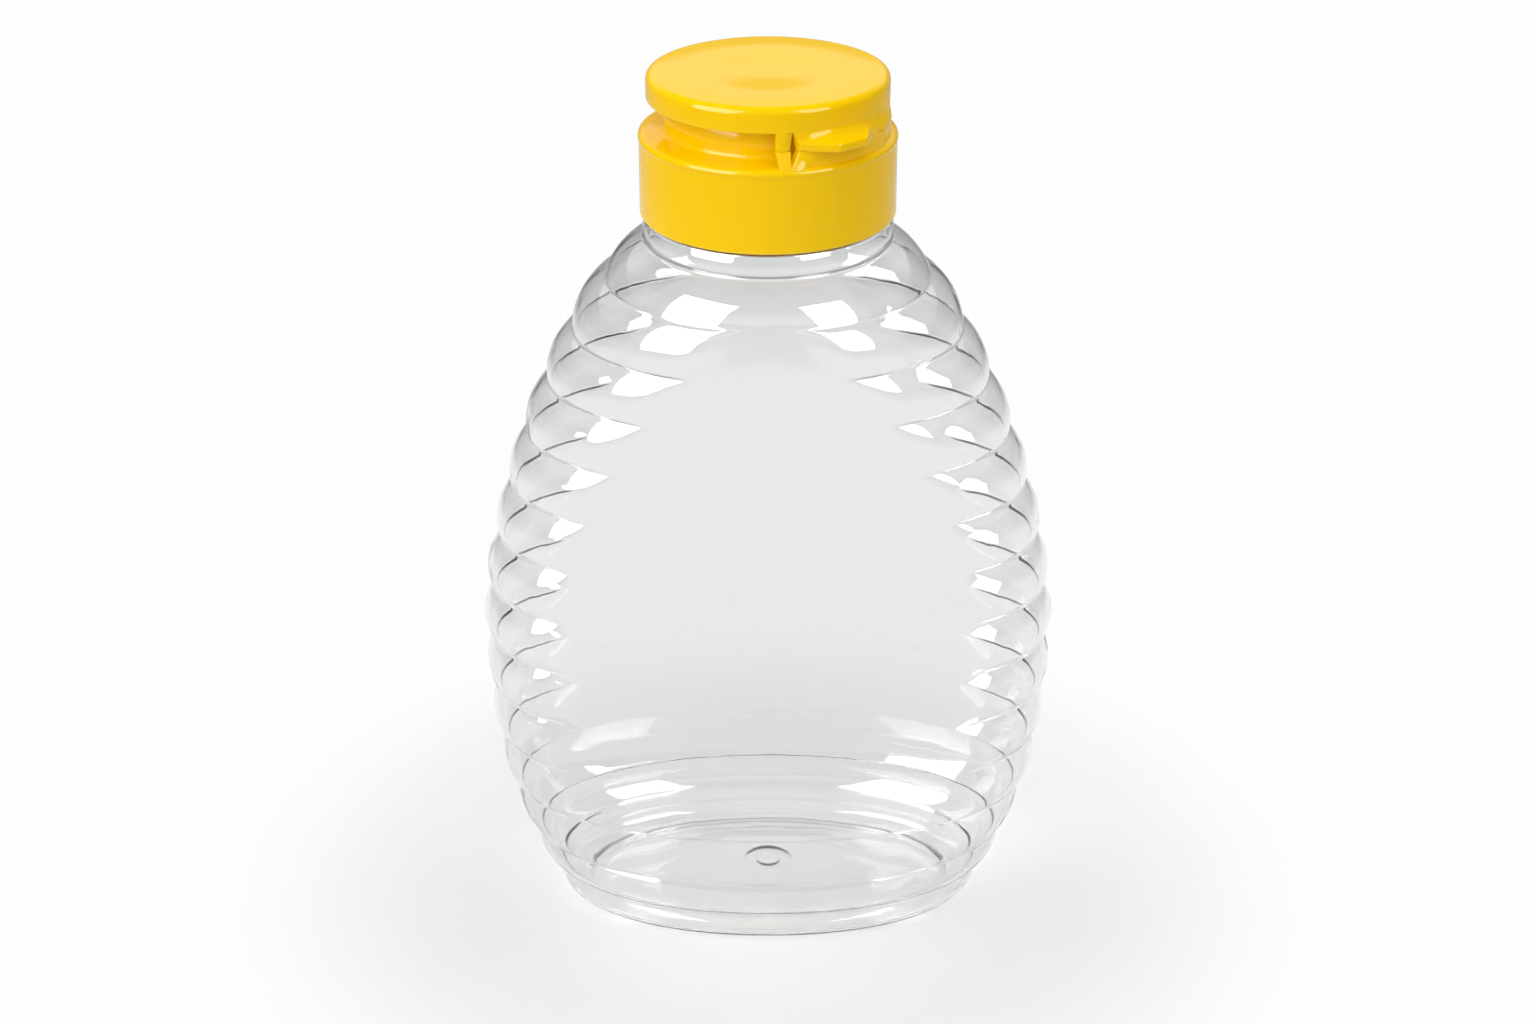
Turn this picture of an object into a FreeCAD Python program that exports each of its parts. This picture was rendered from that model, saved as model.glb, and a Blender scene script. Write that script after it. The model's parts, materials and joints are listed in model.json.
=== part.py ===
import FreeCAD, Part
import math
import os

# Oval squeeze bottle with a hinged flip-top cap.
# Millimetres. +Z is up, the origin is on the table under the bottle's axis, the label
# panels face -Y and +Y, and the wide sides are -X and +X.

# ---- bottle: outline -----------------------------------------------------------------
# Every level section is an oval of this exponent (2 is an ellipse).
SQUARENESS = 2.08
# The side outline is an egg: widest at WAIST, curling in to the shoulder's and the heel's
# grooves. A higher power keeps it full for longer before it curls in.
HALF_WIDTH = 48.1
WAIST = 54.5
SHOULDER_HALF_WIDTH = 27.0
WIDTH_POWER_UP = 1.5
HEEL_HALF_WIDTH = 37.5
WIDTH_POWER_DOWN = 2.6
# The front outline is nearly upright: it tucks in below DEPTH_LEVEL and flares above it.
HALF_DEPTH = 24.25
DEPTH_LEVEL = 47.0
HEEL_HALF_DEPTH = 22.1
DEPTH_POWER_DOWN = 3.5
DEPTH_FLARE = 2.3
SHOULDER_HALF_DEPTH = 25.8

# ---- bottle: rings, foot and panels -----------------------------------------------------
WALL = 0.62
HEEL_GROOVE_Z = 5.2
LOWEST_GROOVE_Z = 11.8
HEEL_RING_BULGE = 0.8
END_RING = 9.2
RING = 9.65
MIDDLE_RINGS = 8
RING_BULGE = 1.25
SHOULDER_BULGE = 1.5
PANEL_HALF_WIDTH = 35.2
PANEL_MIDDLE = 45.0
PANEL_OVER_SHOULDER = 2.4
PANEL_POWER_UP = 2.4
PANEL_UNDER_FOOT = 7.0
PANEL_POWER_DOWN = 4.0
RING_END = 7.0
PANEL_EDGE_BULGE = 0.45
HEEL_RISE = 2.2
HEEL_TUCK = 0.5
HEEL_BULGE = 0.2
FOOT_ROUND = 2.6
FOOT_LAND = 1.3

# ---- bottle: pushed-up base ---------------------------------------------------------------
PUSH_UP = 2.7
GATE_RADIUS = 2.0
GATE_DROP = 0.4
INNER_RING_RADIUS = 4.4
OUTER_RING_RADIUS = 6.2
RING_STEP = 0.35
# Each oval step: how far it lies inside the foot's land in x and in y, and its height.
OVAL_STEPS = [(12.9, 8.6, 2.1), (12.1, 7.9, 1.75), (3.0, 2.6, 1.35), (2.3, 1.9, 1.0)]

# ---- bottle: neck ---------------------------------------------------------------------
SHOULDER_RISE = 6.6
NECK_INSET = 0.6
NECK_BAND = 3.3
NECK_ROUND = 0.8
NECK_BAND_BULGE = 0.25
FINISH_WALL = 1.8
THREAD_ROOM = 0.7

# ---- cap: closure base --------------------------------------------------------------------
CAP_RADIUS = 21.0
CAP_GAP = 0.1
SKIRT_HEIGHT = 14.2
SKIRT_WALL = 2.0
SKIRT_EDGE_ROUND = 0.5
RIM_BEAD = 0.2
RIM_ROUND = 0.8
DECK_THICKNESS = 0.9
DECK_CROWN = 0.35
COLLAR_BULGE = 0.35
COLLAR_FOOT_ROUND = 0.9
COLLAR_WALL = 1.2
COLLAR_TOP_ROUND = 0.6
SEAL_CLEARANCE = 0.1
SPOUT_HEIGHT = 1.2
SPOUT_WALL = 0.6
ORIFICE_RADIUS = 4.0

# ---- cap: lid ---------------------------------------------------------------------------
LID_INSET = 1.25
LID_WALL = 2.1
FINGER_GAP = 5.4
LID_HEIGHT = 4.15
LID_TOP = 1.75
LID_ROUND = 1.15
LID_EDGE_ROUND = 0.25
LID_CLEARANCE = 0.35
DISH_INSET = 2.75
DISH_DEPTH = 0.35
SEAL_RING_DEPTH = 1.0
SEAL_RING_WALL = 0.8

# ---- cap: hinge ---------------------------------------------------------------------------
# The hinge lies HINGE_TURN round from the front, towards +X. Its film line is straight,
# FILM_INSET inside the lid's edge and FILM_BELOW_LID under it. Below it the cap's base has
# a low wall, and above it are the lid's two straps with the spring band between them.
HINGE_TURN = 36.0
FILM_INSET = 2.15
FILM_BELOW_LID = 2.9
FILM_GAP = 0.1
STRAP_OUTER = 10.4
WINDOW_MIDDLE = 7.95
WINDOW_HALF_WIDTH = 0.5
HINGE_WALL = 1.7
HINGE_WALL_OUT = 0.1
HINGE_WALL_ROUND = 1.3
BAND_WALL = 0.8
BAND_CLEARANCE = 0.05
LIP_OVERHANG = 3.15
LIP_HALF_WIDTH = 2.6
LIP_THICKNESS = 1.0
LIP_CORNER_ROUND = 0.8
# The wing carries the lip's line on along the lid's lower edge, past the strap.
WING_END = 14.4
WING_DROP = 2.3
WING_END_DROP = 0.3

# ---- worked out ---------------------------------------------------------------------------
COLUMNS = 96
GROOVES = [LOWEST_GROOVE_Z]
for height in [END_RING] + [RING] * MIDDLE_RINGS + [END_RING] * 2:
    GROOVES.append(GROOVES[-1] + height)
SHOULDER_Z = GROOVES[-1]
NECK_GROOVE_Z = SHOULDER_Z + SHOULDER_RISE
NECK_RADIUS = CAP_RADIUS - NECK_INSET
FINISH_RADIUS = CAP_RADIUS - SKIRT_WALL - THREAD_ROOM
BORE_RADIUS = FINISH_RADIUS - FINISH_WALL
CAP_BOTTOM_Z = NECK_GROOVE_Z + NECK_BAND + NECK_ROUND + CAP_GAP
RIM_Z = CAP_BOTTOM_Z + SKIRT_HEIGHT
SEAL_Z = RIM_Z - DECK_THICKNESS
FINISH_TOP_Z = SEAL_Z - SEAL_CLEARANCE
LID_RADIUS = CAP_RADIUS - LID_INSET
LID_BORE = LID_RADIUS - LID_WALL
COLLAR_RADIUS = LID_BORE - LID_CLEARANCE - COLLAR_BULGE
FILM_REACH = LID_RADIUS - FILM_INSET
LIP_REACH = LID_RADIUS + LIP_OVERHANG
LID_BOTTOM_Z = RIM_Z + FINGER_GAP
LID_TOP_Z = LID_BOTTOM_Z + LID_HEIGHT
LID_CEILING_Z = LID_TOP_Z - LID_TOP
COLLAR_TOP_Z = LID_CEILING_Z - SPOUT_HEIGHT - LID_CLEARANCE / 2
FILM_Z = LID_BOTTOM_Z - FILM_BELOW_LID
SPOUT_RADIUS = ORIFICE_RADIUS + SPOUT_WALL
ORIGIN = FreeCAD.Vector(0, 0, 0)
UP = FreeCAD.Vector(0, 0, 1)


# ---- bottle ---------------------------------------------------------------------------------
def curled(full, end, share, power):
    """Half a size that curls in from full, at share 0, to end, at share 1."""
    return full * math.sqrt(1 - (1 - (end / full) ** 2) * share ** power)


def half_width(z):
    """Half the bottle's width at the grooves' level z."""
    if z > WAIST:
        share = (z - WAIST) / (SHOULDER_Z - WAIST)
        return curled(HALF_WIDTH, SHOULDER_HALF_WIDTH, share, WIDTH_POWER_UP)
    share = (WAIST - z) / (WAIST - HEEL_GROOVE_Z)
    return curled(HALF_WIDTH, HEEL_HALF_WIDTH, share, WIDTH_POWER_DOWN)


def half_depth(z):
    """Half the bottle's depth at the panels' level z."""
    if z > DEPTH_LEVEL:
        share = (z - DEPTH_LEVEL) / (SHOULDER_Z - END_RING - DEPTH_LEVEL)
        return HALF_DEPTH + DEPTH_FLARE * share ** 2
    share = (DEPTH_LEVEL - z) / (DEPTH_LEVEL - HEEL_GROOVE_Z)
    return curled(HALF_DEPTH, HEEL_HALF_DEPTH, share, DEPTH_POWER_DOWN)


def panel_edge(z):
    """Half the width of the smooth label panel at level z."""
    if z > PANEL_MIDDLE:
        share = (z - PANEL_MIDDLE) / (SHOULDER_Z + PANEL_OVER_SHOULDER - PANEL_MIDDLE)
        return PANEL_HALF_WIDTH * (1 - share ** PANEL_POWER_UP)
    share = (PANEL_MIDDLE - z) / (PANEL_MIDDLE + PANEL_UNDER_FOOT)
    return PANEL_HALF_WIDTH * (1 - share ** PANEL_POWER_DOWN)


def smooth(share):
    share = min(max(share, 0.0), 1.0)
    return share * share * (3 - 2 * share)


def oval(station):
    """Points round one level section (half width, half depth, height)."""
    half_x, half_y, z = station
    power = 2 / SQUARENESS if half_x != half_y else 1.0
    points = []
    for column in range(COLUMNS):
        turn = 2 * math.pi * column / COLUMNS
        cosine, sine = math.cos(turn), math.sin(turn)
        x = half_x * math.copysign(abs(cosine) ** power, cosine)
        y = half_y * math.copysign(abs(sine) ** power, sine)
        points.append(FreeCAD.Vector(x, y, z))
    return points


def poles(points):
    """Control points of the closed cubic curve that passes through the given points."""
    count = len(points)
    return [points[i] * (4 / 3) - (points[i - 1] + points[(i + 1) % count]) / 6 for i in range(count)]


def skin(rows):
    """A face through rows of points: straight between two rows, an arc over three."""
    degree = len(rows) - 1
    net = [list(column) for column in zip(*[poles(row) for row in rows])]
    surface = Part.BSplineSurface()
    surface.buildFromPolesMultsKnots(
        net, [1] * (COLUMNS + 1), [degree + 1] * 2, list(range(COLUMNS + 1)), [0, 1],
        True, False, 3, degree)
    return surface.toShape()


def disc(row):
    """The flat face inside one row of points."""
    curve = Part.BSplineCurve()
    curve.buildFromPolesMultsKnots(poles(row), [1] * (COLUMNS + 1), list(range(COLUMNS + 1)), True, 3)
    return Part.Face(Part.Wire([curve.toShape()]))


def step(first, second):
    """The face between two neighbouring rows, a true plane where both are at one level."""
    if abs(first[0].z - second[0].z) > 1e-9:
        return skin([first, second])
    wide, narrow = (first, second) if first[0].x > second[0].x else (second, first)
    return disc(wide).cut(disc(narrow)).Faces[0]


def bulged(lower, upper, bulge, floor=None):
    """The middle row of a ring between two grooves. Where floor is given, the ring fades out
    towards the label panel, down to that share of its bulge."""
    edge = panel_edge((lower[0].z + upper[0].z) / 2)
    row = []
    for i in range(COLUMNS):
        low, high = lower[i], upper[i]
        middle = (low + high) / 2
        along = lower[(i + 1) % COLUMNS] - lower[i - 1]
        outward = along.cross(high - low).normalize()
        height = bulge
        if floor is not None:
            height *= floor + (1 - floor) * smooth((abs(middle.x) - edge) / RING_END)
        row.append(middle + outward * (2 * height))
    return row


def inner(stations, wall):
    """The same sections moved in by the wall, square to the outline."""
    result = []
    for i, (half_x, half_y, z) in enumerate(stations):
        before = stations[max(i - 1, 0)]
        after = stations[min(i + 1, len(stations) - 1)]
        run_x, run_y, rise = (after[k] - before[k] for k in range(3))
        slant_x, slant_y = math.hypot(run_x, rise), math.hypot(run_y, rise)
        result.append((half_x - wall * rise / slant_x, half_y - wall * rise / slant_y,
                       z + wall * run_x / slant_x))
    return result


def base_stations():
    """The pushed-up base from the gate mark out to the land, the foot's corner, the heel and
    the heel groove."""
    groove = (HEEL_HALF_WIDTH, HEEL_HALF_DEPTH, HEEL_GROOVE_Z)
    heel = (HEEL_HALF_WIDTH - HEEL_TUCK, HEEL_HALF_DEPTH, HEEL_RISE)
    corner = (heel[0] - HEEL_TUCK, heel[1], 0.0)
    outer_x, outer_y = corner[0] - FOOT_ROUND, corner[1] - FOOT_ROUND
    land_x, land_y = outer_x - FOOT_LAND, outer_y - FOOT_LAND
    stations = [
        (GATE_RADIUS - GATE_DROP, GATE_RADIUS - GATE_DROP, PUSH_UP - GATE_DROP),
        (GATE_RADIUS, GATE_RADIUS, PUSH_UP),
        (INNER_RING_RADIUS - RING_STEP, INNER_RING_RADIUS - RING_STEP, PUSH_UP),
        (INNER_RING_RADIUS, INNER_RING_RADIUS, PUSH_UP - RING_STEP),
        (OUTER_RING_RADIUS, OUTER_RING_RADIUS, PUSH_UP - RING_STEP),
    ]
    stations += [(land_x - in_x, land_y - in_y, z) for in_x, in_y, z in OVAL_STEPS]
    stations += [(land_x, land_y, 0.0), (outer_x, outer_y, 0.0)]
    return stations, corner, heel, groove


def wall_stations():
    """The grooves up the body, from the lowest to the neck's."""
    stations = [(half_width(z), half_depth(z), z) for z in GROOVES[:-1]]
    stations.append((half_width(GROOVES[-1]), SHOULDER_HALF_DEPTH, GROOVES[-1]))
    stations.append((NECK_RADIUS, NECK_RADIUS, NECK_GROOVE_Z))
    return stations


def body_skins(base, corner, heel, groove, walls):
    """The faces of one side of the wall, from the base's middle to the neck groove."""
    rows = [oval(station) for station in base]
    faces = [disc(rows[0])]
    faces += [step(first, second) for first, second in zip(rows[:-1], rows[1:])]
    faces.append(skin([rows[-1], oval(corner), oval(heel)]))
    rows = [oval(heel), oval(groove)] + [oval(station) for station in walls]
    last = len(rows) - 2
    for i in range(last + 1):
        if i == 0:
            middle = bulged(rows[0], rows[1], HEEL_BULGE)
        elif i == 1:
            middle = bulged(rows[1], rows[2], HEEL_RING_BULGE)
        elif i == last:
            middle = bulged(rows[i], rows[i + 1], SHOULDER_BULGE)
        else:
            floor = PANEL_EDGE_BULGE if i in (2, last - 1) else 0.0
            middle = bulged(rows[i], rows[i + 1], RING_BULGE, floor)
        faces.append(skin([rows[i], middle, rows[i + 1]]))
    return faces


def make_bottle():
    base, corner, heel, groove = base_stations()
    walls = wall_stations()
    shifted = inner(base + [heel, groove] + walls, WALL)
    count = len(base)
    inner_heel, inner_groove = shifted[count], shifted[count + 1]
    inner_corner = (corner[0] - WALL, corner[1] - WALL, corner[2] + WALL)
    faces = body_skins(base, corner, heel, groove, walls)
    faces += body_skins(shifted[:count], inner_corner, inner_heel, inner_groove, shifted[count + 2:])
    band_z = NECK_GROOVE_Z + NECK_BAND
    shoulder_z = band_z + NECK_ROUND
    neck = oval(walls[-1])
    band = oval((NECK_RADIUS, NECK_RADIUS, band_z))
    round_corner = oval((NECK_RADIUS, NECK_RADIUS, shoulder_z))
    shoulder = oval((FINISH_RADIUS, FINISH_RADIUS, shoulder_z))
    finish = oval((FINISH_RADIUS, FINISH_RADIUS, FINISH_TOP_Z))
    bore_top = oval((BORE_RADIUS, BORE_RADIUS, FINISH_TOP_Z))
    bore_foot = oval((BORE_RADIUS, BORE_RADIUS, shoulder_z))
    inner_neck = oval(shifted[-1])
    faces.append(skin([neck, bulged(neck, band, NECK_BAND_BULGE), band]))
    faces.append(skin([band, round_corner, shoulder]))
    for first, second in [(shoulder, finish), (finish, bore_top), (bore_top, bore_foot),
                          (bore_foot, inner_neck)]:
        faces.append(step(first, second))
    return solid_from(faces)


def solid_from(faces):
    shell = Part.Shell(faces)
    shell.sewShape()
    solid = Part.Solid(Part.Shell(shell.Faces))
    if solid.Volume < 0:
        solid.reverse()
    return solid


# ---- cap -------------------------------------------------------------------------------------
def profile_solid(points):
    """A solid of revolution about Z. Each point is (radius, z), or (radius, z, rounding)."""
    corners = [FreeCAD.Vector(point[0], 0, point[1]) for point in points]
    edges = []
    starts, ends = [], []
    count = len(points)
    for i, point in enumerate(points):
        here = corners[i]
        if len(point) < 3:
            starts.append(here)
            ends.append(here)
            continue
        to_last = (corners[i - 1] - here).normalize()
        to_next = (corners[(i + 1) % count] - here).normalize()
        half_angle = to_last.getAngle(to_next) / 2
        back = point[2] / math.tan(half_angle)
        start, end = here + to_last * back, here + to_next * back
        centre = here + (to_last + to_next).normalize() * (point[2] / math.sin(half_angle))
        top = centre + (here - centre).normalize() * point[2]
        edges.append((i, Part.Arc(start, top, end).toShape()))
        starts.append(start)
        ends.append(end)
    arcs = dict(edges)
    outline = []
    for i in range(count):
        if i in arcs:
            outline.append(arcs[i])
        outline.append(Part.LineSegment(ends[i], starts[(i + 1) % count]).toShape())
    face = Part.Face(Part.Wire(outline))
    return face.revolve(ORIGIN, UP, 360)


def in_hinge_place(shape):
    """Turns a shape made with the hinge towards -Y into its real place."""
    shape.rotate(ORIGIN, UP, HINGE_TURN)
    return shape


def cylinder(radius, low, high):
    return Part.makeCylinder(radius, high - low, FreeCAD.Vector(0, 0, low))


def prism(outline, low, high):
    """An upright prism over a plan outline."""
    points = [FreeCAD.Vector(x, y, low) for x, y in outline]
    wire = Part.makePolygon(points + points[:1])
    return Part.Face(wire).extrude(FreeCAD.Vector(0, 0, high - low))


def upright(outline):
    """A plate that stands across the hinge, its outline given as (x, z) and its thickness
    running out past the lip."""
    points = [FreeCAD.Vector(x, 0, z) for x, z in outline]
    wire = Part.makePolygon(points + points[:1])
    return Part.Face(wire).extrude(FreeCAD.Vector(0, -2 * LIP_REACH, 0))


def window(side):
    """The cutter for one of the two slim windows beside the straps, pointed at both ends."""
    low = FreeCAD.Vector(side * WINDOW_MIDDLE, 0, RIM_Z)
    high = FreeCAD.Vector(side * WINDOW_MIDDLE, 0, LID_BOTTOM_Z)
    reach = FreeCAD.Vector(WINDOW_HALF_WIDTH, 0, 0)
    middle = (low + high) / 2
    outline = [Part.Arc(low, middle + reach, high).toShape(), Part.Arc(high, middle - reach, low).toShape()]
    return Part.Face(Part.Wire(outline)).extrude(FreeCAD.Vector(0, -2 * LIP_REACH, 0))


def behind_film():
    """The room on the cap's side of the film line."""
    size = 2 * STRAP_OUTER + 2 * WING_END
    return Part.makeBox(size, FILM_REACH, LID_HEIGHT * 4, FreeCAD.Vector(-size / 2, -FILM_REACH, RIM_Z))


def make_cap_base():
    """Skirt, rim, crowned deck, collar with its spout, and the hinge's lower blocks."""
    rim_radius = CAP_RADIUS + RIM_BEAD
    skirt_bore = CAP_RADIUS - SKIRT_WALL
    collar_bore = COLLAR_RADIUS - COLLAR_WALL
    collar_foot_z = RIM_Z + DECK_CROWN
    bulge_z = (collar_foot_z + COLLAR_TOP_Z) / 2
    body = profile_solid([
        (skirt_bore, CAP_BOTTOM_Z),
        (CAP_RADIUS, CAP_BOTTOM_Z, SKIRT_EDGE_ROUND),
        (CAP_RADIUS, RIM_Z - 2 * RIM_ROUND, RIM_ROUND),
        (rim_radius, RIM_Z - RIM_ROUND * 1.6, RIM_BEAD),
        (rim_radius, RIM_Z, RIM_ROUND),
        (LID_RADIUS - BAND_WALL, RIM_Z, RIM_ROUND / 2),
        (COLLAR_RADIUS, collar_foot_z, COLLAR_FOOT_ROUND),
        (COLLAR_RADIUS + COLLAR_BULGE, bulge_z, COLLAR_FOOT_ROUND),
        (COLLAR_RADIUS, COLLAR_TOP_Z, COLLAR_TOP_ROUND),
        (SPOUT_RADIUS, COLLAR_TOP_Z),
        (SPOUT_RADIUS, COLLAR_TOP_Z + SPOUT_HEIGHT),
        (ORIFICE_RADIUS, COLLAR_TOP_Z + SPOUT_HEIGHT),
        (ORIFICE_RADIUS, COLLAR_TOP_Z - DECK_THICKNESS),
        (collar_bore, COLLAR_TOP_Z - DECK_THICKNESS),
        (collar_bore, SEAL_Z),
        (skirt_bore, SEAL_Z),
    ])
    return body.fuse(in_hinge_place(hinge_wall())).removeSplitter()


def hinge_wall():
    """The low wall under the film line, which runs down into the rim in a hollow curve. The
    window beside its left strap reaches down into it."""
    outer = LID_RADIUS + HINGE_WALL_OUT
    root_z = RIM_Z - DECK_THICKNESS / 2
    wall = profile_solid([
        (outer - HINGE_WALL, root_z),
        (CAP_RADIUS - RIM_BEAD, root_z),
        (CAP_RADIUS - RIM_BEAD, RIM_Z - RIM_BEAD),
        (outer, RIM_Z - RIM_BEAD, HINGE_WALL_ROUND),
        (outer, FILM_Z - FILM_GAP / 2),
        (outer - HINGE_WALL, FILM_Z - FILM_GAP / 2),
    ])
    width = [(-STRAP_OUTER, CAP_BOTTOM_Z), (STRAP_OUTER, CAP_BOTTOM_Z), (STRAP_OUTER, LID_TOP_Z),
             (-STRAP_OUTER, LID_TOP_Z)]
    return wall.common(upright(width)).cut(window(-1))


def make_lid():
    """The lid's disc with its shallow dish, its ring wall, its sealing ring round the spout,
    the two straps and the wing."""
    dish_radius = LID_RADIUS - DISH_INSET
    ball_radius = (dish_radius ** 2 + DISH_DEPTH ** 2) / (2 * DISH_DEPTH)
    ring_bore = SPOUT_RADIUS + LID_CLEARANCE
    body = profile_solid([
        (0, LID_TOP_Z),
        (0, LID_CEILING_Z),
        (ring_bore, LID_CEILING_Z),
        (ring_bore, LID_CEILING_Z - SEAL_RING_DEPTH),
        (ring_bore + SEAL_RING_WALL, LID_CEILING_Z - SEAL_RING_DEPTH),
        (ring_bore + SEAL_RING_WALL, LID_CEILING_Z),
        (LID_BORE, LID_CEILING_Z),
        (LID_BORE, LID_BOTTOM_Z),
        (LID_RADIUS, LID_BOTTOM_Z, LID_EDGE_ROUND),
        (LID_RADIUS, LID_TOP_Z, LID_ROUND),
    ])
    ball = Part.makeSphere(ball_radius, FreeCAD.Vector(0, 0, LID_TOP_Z - DISH_DEPTH + ball_radius))
    return body.cut(ball).fuse([in_hinge_place(piece) for piece in lid_straps()]).removeSplitter()


def lid_straps():
    """What hangs from the lid's lower edge at the hinge: a strap each side, and the wing."""
    low, high = FILM_Z + FILM_GAP / 2, LID_BOTTOM_Z + LID_EDGE_ROUND * 2
    ring = cylinder(LID_RADIUS + HINGE_WALL_OUT, low, high).cut(cylinder(LID_BORE, low, high))
    ring = ring.common(behind_film())
    edge = WINDOW_MIDDLE
    left = upright([(-STRAP_OUTER, low), (-edge, low), (-edge, high), (-STRAP_OUTER, high)])
    right = upright([
        (edge, low), (STRAP_OUTER, low), (STRAP_OUTER, LID_BOTTOM_Z - WING_DROP),
        (WING_END, LID_BOTTOM_Z - WING_END_DROP), (WING_END, high), (edge, high)])
    return [ring.common(left).cut(window(-1)), ring.common(right).cut(window(1))]


def make_hinge_band():
    """The bowed spring band between the hinge's two windows, with its folded lip."""
    low, high = FILM_Z - FILM_GAP / 2 + BAND_CLEARANCE, LID_BOTTOM_Z - BAND_CLEARANCE
    hollow = cylinder(LID_RADIUS - BAND_WALL, low - 1, high + 1)
    edge = WINDOW_MIDDLE
    width = upright([(-edge, low), (edge, low), (edge, high), (-edge, high)])
    wall = cylinder(LID_RADIUS, low, high).cut(hollow).common(width).cut(window(-1)).cut(window(1))
    root_x = edge - WINDOW_HALF_WIDTH
    root_y = -math.sqrt(LID_RADIUS ** 2 - root_x ** 2)
    outline = [(root_x, root_y), (LIP_HALF_WIDTH, -LIP_REACH), (-LIP_HALF_WIDTH, -LIP_REACH), (-root_x, root_y)]
    lip = prism(outline, low, low + LIP_THICKNESS).cut(hollow)
    band = wall.fuse(lip).removeSplitter()
    corners = [e for e in band.Edges
               if abs(e.BoundBox.YMin + LIP_REACH) < 1e-6 and abs(e.BoundBox.YMax + LIP_REACH) < 1e-6
               and e.BoundBox.ZLength > LIP_THICKNESS / 2]
    band = band.makeFillet(LIP_CORNER_ROUND, corners)
    return in_hinge_place(band)


def main():
    os.makedirs("parts", exist_ok=True)
    nodes = {
        "bottle": make_bottle(),
        "cap_base": make_cap_base(),
        "lid": make_lid(),
        "hinge_band": make_hinge_band(),
    }
    for name, shape in nodes.items():
        print(name, "valid", shape.isValid(), "solids", len(shape.Solids),
              "volume %.1f mm3" % shape.Volume, "box", shape.BoundBox)
        shape.exportStep("parts/%s.step" % name)


main()
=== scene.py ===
import json
import math

import bpy
import numpy as np
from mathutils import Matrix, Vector


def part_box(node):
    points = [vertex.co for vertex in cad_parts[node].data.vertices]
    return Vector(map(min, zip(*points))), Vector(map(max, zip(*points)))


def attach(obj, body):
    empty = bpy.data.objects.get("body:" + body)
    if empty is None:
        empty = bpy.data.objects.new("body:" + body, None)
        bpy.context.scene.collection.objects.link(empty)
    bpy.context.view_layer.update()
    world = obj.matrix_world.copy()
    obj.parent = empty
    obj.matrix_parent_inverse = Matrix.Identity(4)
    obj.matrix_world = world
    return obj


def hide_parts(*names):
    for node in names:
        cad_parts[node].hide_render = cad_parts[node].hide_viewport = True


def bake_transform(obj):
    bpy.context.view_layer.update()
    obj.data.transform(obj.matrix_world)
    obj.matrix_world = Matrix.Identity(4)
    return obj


bl_info = {
    "name": "Honey squeeze bottle",
    "version": (1, 0, 0),
    "blender": (4, 5, 0),
    "location": "View3D > Sidebar > Squeeze bottle",
    "description": "Builds an empty oval squeeze bottle of clear plastic with a hinged yellow cap, "
                   "and its studio",
    "category": "Add Mesh",
}

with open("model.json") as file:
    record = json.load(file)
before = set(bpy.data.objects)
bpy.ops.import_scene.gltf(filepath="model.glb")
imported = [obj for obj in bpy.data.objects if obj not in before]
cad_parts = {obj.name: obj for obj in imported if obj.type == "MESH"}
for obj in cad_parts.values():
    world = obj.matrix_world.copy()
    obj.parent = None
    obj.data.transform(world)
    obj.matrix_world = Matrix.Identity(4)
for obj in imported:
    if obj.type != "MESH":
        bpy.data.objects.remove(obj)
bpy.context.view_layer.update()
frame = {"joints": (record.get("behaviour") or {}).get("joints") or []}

MM = 0.001
CAP_LOW, CAP_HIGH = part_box("cap_base")
LID_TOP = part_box("lid")[1].z
HINGE = frame["joints"][0]
HINGE_AXIS = Vector(HINGE["axis"])
HINGE_POINT = Vector(HINGE["pos_m"])
HINGE_TURN = math.atan2(HINGE_AXIS.y, HINGE_AXIS.x)
FILM_REACH = math.hypot(HINGE_POINT.x, HINGE_POINT.y)
FILM_Z = HINGE_POINT.z


def length(name, description, millimetres):
    """A size property, given in millimetres and stored in metres."""
    return bpy.props.FloatProperty(
        name=name, description=description, default=millimetres * MM, unit="LENGTH", precision=5)


def number(name, description, value):
    """A plain number property, for exponents and shares."""
    return bpy.props.FloatProperty(name=name, description=description, default=value)


def colour(name, description, hex_value):
    """A colour property, kept as text."""
    return bpy.props.StringProperty(
        name=name, description=description + ", as an sRGB hex value", default=hex_value)


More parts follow.
